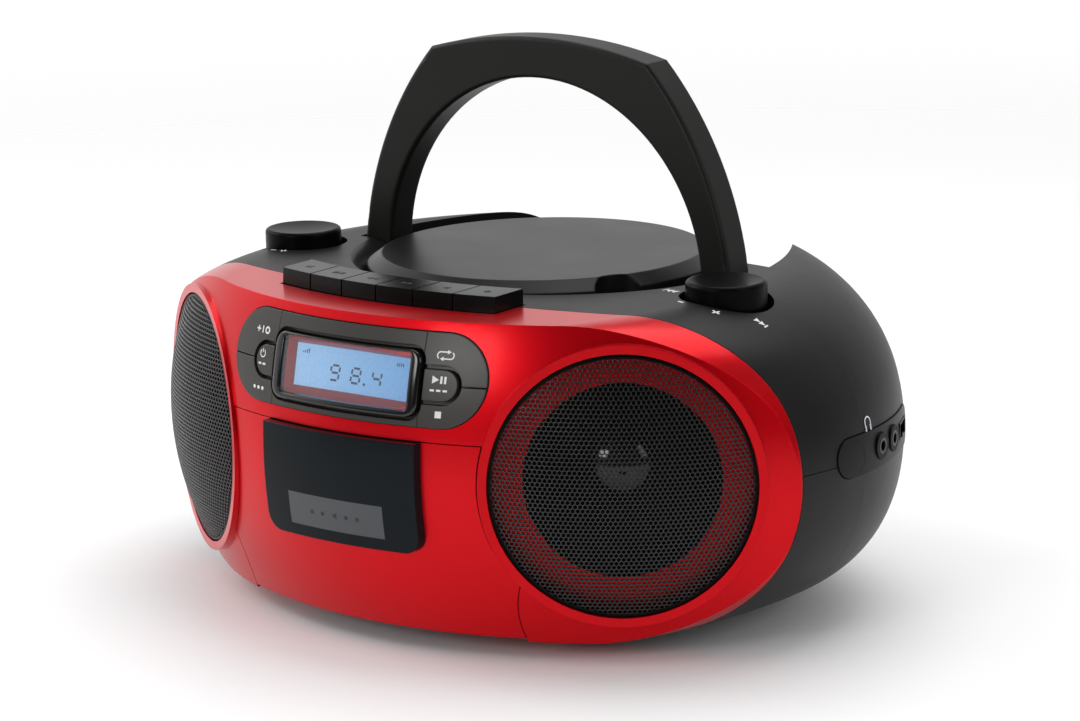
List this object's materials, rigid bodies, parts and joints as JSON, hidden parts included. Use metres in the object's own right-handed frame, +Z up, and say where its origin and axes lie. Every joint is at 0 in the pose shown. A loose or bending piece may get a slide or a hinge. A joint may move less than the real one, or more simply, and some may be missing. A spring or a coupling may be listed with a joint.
{
  "type": "portable disc, radio and cassette player",
  "caption": "Portable stereo with a bowed front, round speakers, cassette door, display, piano keys, disc lid and fold-down carrying handle.",
  "frame": {"origin": "on the surface the feet stand on, under the middle of the case", "axes": "+Z up, +X to the right seen from the front, the front faces -Y"},
  "size_m": [0.3347, 0.255, 0.2296],
  "materials": {
    "red_paint": "satin metallic red paint",
    "red_frame": "red metallic paint",
    "black_case": "fine matt",
    "black_trim": "satin",
    "black_handle": "matt",
    "black_lid": "matt",
    "black_inner": "matt",
    "black_key": "matt",
    "black_knob": "satin",
    "grey_panel": "satin",
    "clear_lens": "polished",
    "lcd_glass": "lit display",
    "smoked_window": "polished smoke tint",
    "grille_steel": "black perforated sheet",
    "frame_steel": "painted steel",
    "cone_paper": "pressed paper",
    "bright_steel": "plain",
    "board": "coated laminate",
    "core_steel": "plain",
    "rubber": "matt",
    "white_plastic": "plain",
    "wheel_brass": "turned",
    "aerial_chrome": "polished"
  },
  "bodies": {
    "case": {"audio_jacks": "black_trim", "battery_contacts": "bright_steel", "bottom_cabinet": "black_case", "case_screws": "bright_steel", "control_board": "board", "control_panel": "grey_panel", "disc_motor": "core_steel", "disc_well": "black_inner", "display_frame": "red_frame", "display_lens": "clear_lens", "drive_belt": "rubber", "front_fascia": "red_paint", "handle_pins": "bright_steel", "hinge_pins": "bright_steel", "key_rod": "bright_steel", "lcd_module": "lcd_glass", "main_board": "board", "mains_inlet": "black_trim", "pickup_rails": "bright_steel", "power_transformer": "core_steel", "rotary_controls": "core_steel", "rubber_feet": "rubber", "side_panel": "black_trim", "speaker_cones": "cone_paper", "speaker_frames": "frame_steel", "speaker_grilles": "grille_steel", "tape_chassis": "frame_steel", "tape_head": "bright_steel", "tape_motor": "core_steel", "top_cabinet": "black_case", "usb_socket": "bright_steel"},
    "handle": {"handle": "black_handle"},
    "lid": {"disc_lid": "black_lid"},
    "door": {"cassette_door": "red_paint", "door_window": "smoked_window", "cassette_holder": "black_inner"},
    "volume": {"volume_knob": "black_knob"},
    "tuning": {"tuning_knob": "black_knob"},
    "hub": {"disc_hub": "black_inner"},
    "pickup": {"laser_pickup": "black_inner"},
    "flywheel": {"flywheel": "wheel_brass"},
    "takeup": {"takeup_spindle": "white_plastic"},
    "supply": {"supply_spindle": "white_plastic"},
    "pinch": {"pinch_roller": "rubber"},
    "pulley": {"motor_pulley": "wheel_brass"},
    "battery_cover": {"battery_cover": "black_case"},
    "aerial": {"antenna": "aerial_chrome"},
    "key_pause": {"key_pause": "black_key"},
    "key_stop": {"key_stop": "black_key"},
    "key_rewind": {"key_rewind": "black_key"},
    "key_forward": {"key_forward": "black_key"},
    "key_play": {"key_play": "black_key"},
    "key_record": {"key_record": "black_key"},
    "button_power": {"button_power": "grey_panel"},
    "button_play": {"button_play": "grey_panel"},
    "button_preset": {"button_preset": "grey_panel"},
    "button_program": {"button_program": "grey_panel"},
    "button_repeat": {"button_repeat": "grey_panel"},
    "button_halt": {"button_halt": "grey_panel"}
  },
  "joints": [
    {"name": "handle_fold", "type": "hinge", "parent": "case", "child": "handle", "pos_m": [0, 0.021, 0.128], "axis": [-1, 0, 0], "range_deg": [0, 90]},
    {"name": "lid_open", "type": "hinge", "parent": "case", "child": "lid", "pos_m": [0, 0.084, 0.1345], "axis": [-1, 0, 0], "range_deg": [0, 18]},
    {"name": "door_open", "type": "hinge", "parent": "case", "child": "door", "pos_m": [0, -0.096, 0.015], "axis": [1, 0, 0], "range_deg": [0, 28]},
    {"name": "key_pause_press", "type": "hinge", "parent": "case", "child": "key_pause", "pos_m": [-0.0513, -0.0665, 0.13], "axis": [1, 0, 0], "range_deg": [0, 7], "stiffness_Nm_per_rad": 0.15, "springref_deg": -2.86},
    {"name": "key_stop_press", "type": "hinge", "parent": "case", "child": "key_stop", "pos_m": [-0.0327, -0.0665, 0.13], "axis": [1, 0, 0], "range_deg": [0, 7], "stiffness_Nm_per_rad": 0.15, "springref_deg": -2.86},
    {"name": "key_rewind_press", "type": "hinge", "parent": "case", "child": "key_rewind", "pos_m": [-0.0141, -0.0665, 0.13], "axis": [1, 0, 0], "range_deg": [0, 7], "stiffness_Nm_per_rad": 0.15, "springref_deg": -2.86},
    {"name": "key_forward_press", "type": "hinge", "parent": "case", "child": "key_forward", "pos_m": [0.0045, -0.0665, 0.13], "axis": [1, 0, 0], "range_deg": [0, 7], "stiffness_Nm_per_rad": 0.15, "springref_deg": -2.86},
    {"name": "key_play_press", "type": "hinge", "parent": "case", "child": "key_play", "pos_m": [0.0231, -0.0665, 0.13], "axis": [1, 0, 0], "range_deg": [0, 7], "stiffness_Nm_per_rad": 0.15, "springref_deg": -2.86},
    {"name": "key_record_press", "type": "hinge", "parent": "case", "child": "key_record", "pos_m": [0.0417, -0.0665, 0.13], "axis": [1, 0, 0], "range_deg": [0, 7], "stiffness_Nm_per_rad": 0.15, "springref_deg": -2.86},
    {"name": "button_power_press", "type": "slide", "parent": "case", "child": "button_power", "axis": [0, 1, 0], "range_m": [0, 0.001], "stiffness_N_per_m": 600, "springref_m": -0.0005},
    {"name": "button_play_press", "type": "slide", "parent": "case", "child": "button_play", "axis": [0, 1, 0], "range_m": [0, 0.001], "stiffness_N_per_m": 600, "springref_m": -0.0005},
    {"name": "button_preset_press", "type": "slide", "parent": "case", "child": "button_preset", "axis": [0, 1, 0], "range_m": [0, 0.001], "stiffness_N_per_m": 600, "springref_m": -0.0005},
    {"name": "button_program_press", "type": "slide", "parent": "case", "child": "button_program", "axis": [0, 1, 0], "range_m": [0, 0.001], "stiffness_N_per_m": 600, "springref_m": -0.0005},
    {"name": "button_repeat_press", "type": "slide", "parent": "case", "child": "button_repeat", "axis": [0, 1, 0], "range_m": [0, 0.001], "stiffness_N_per_m": 600, "springref_m": -0.0005},
    {"name": "button_halt_press", "type": "slide", "parent": "case", "child": "button_halt", "axis": [0, 1, 0], "range_m": [0, 0.001], "stiffness_N_per_m": 600, "springref_m": -0.0005},
    {"name": "volume_turn", "type": "hinge", "parent": "case", "child": "volume", "pos_m": [-0.11, -0.011, 0.143], "axis": [0, 0, -1], "range_deg": [0, 300]},
    {"name": "tuning_turn", "type": "hinge", "parent": "case", "child": "tuning", "pos_m": [0.11, -0.011, 0.143], "axis": [0, 0, -1], "continuous": true},
    {"name": "disc_spin", "type": "hinge", "parent": "case", "child": "hub", "pos_m": [0, 0.015, 0.127], "axis": [0, 0, 1], "continuous": true},
    {"name": "pickup_travel", "type": "slide", "parent": "case", "child": "pickup", "axis": [1, 0, 0], "range_m": [0, 0.028]},
    {"name": "flywheel_spin", "type": "hinge", "parent": "case", "child": "flywheel", "pos_m": [0.015, -0.078, 0.086], "axis": [0, 1, 0], "continuous": true},
    {"name": "pinch_spin", "type": "hinge", "parent": "case", "child": "pinch", "pos_m": [0.015, -0.088, 0.09355], "axis": [0, 1, 0], "continuous": true},
    {"name": "takeup_spin", "type": "hinge", "parent": "case", "child": "takeup", "pos_m": [0.02125, -0.088, 0.057], "axis": [0, 1, 0], "continuous": true},
    {"name": "supply_spin", "type": "hinge", "parent": "case", "child": "supply", "pos_m": [-0.02125, -0.088, 0.057], "axis": [0, 1, 0], "continuous": true},
    {"name": "pulley_spin", "type": "hinge", "parent": "case", "child": "pulley", "pos_m": [-0.034, -0.078, 0.076], "axis": [0, 1, 0], "continuous": true},
    {"name": "battery_cover_slide", "type": "slide", "parent": "case", "child": "battery_cover", "axis": [0, 1, 0], "range_m": [0, 0.025]},
    {"name": "aerial_swing", "type": "hinge", "parent": "case", "child": "aerial", "pos_m": [0.056, 0.112, 0.108], "axis": [0, 0, -1], "range_deg": [0, 90]}
  ],
  "couplings": [
    {"joint": "pinch_spin", "follows": "flywheel_spin", "ratio": -0.25},
    {"joint": "takeup_spin", "follows": "flywheel_spin", "ratio": 0.1364},
    {"joint": "supply_spin", "follows": "flywheel_spin", "ratio": 0.1364},
    {"joint": "pulley_spin", "follows": "flywheel_spin", "ratio": 5.4}
  ]
}
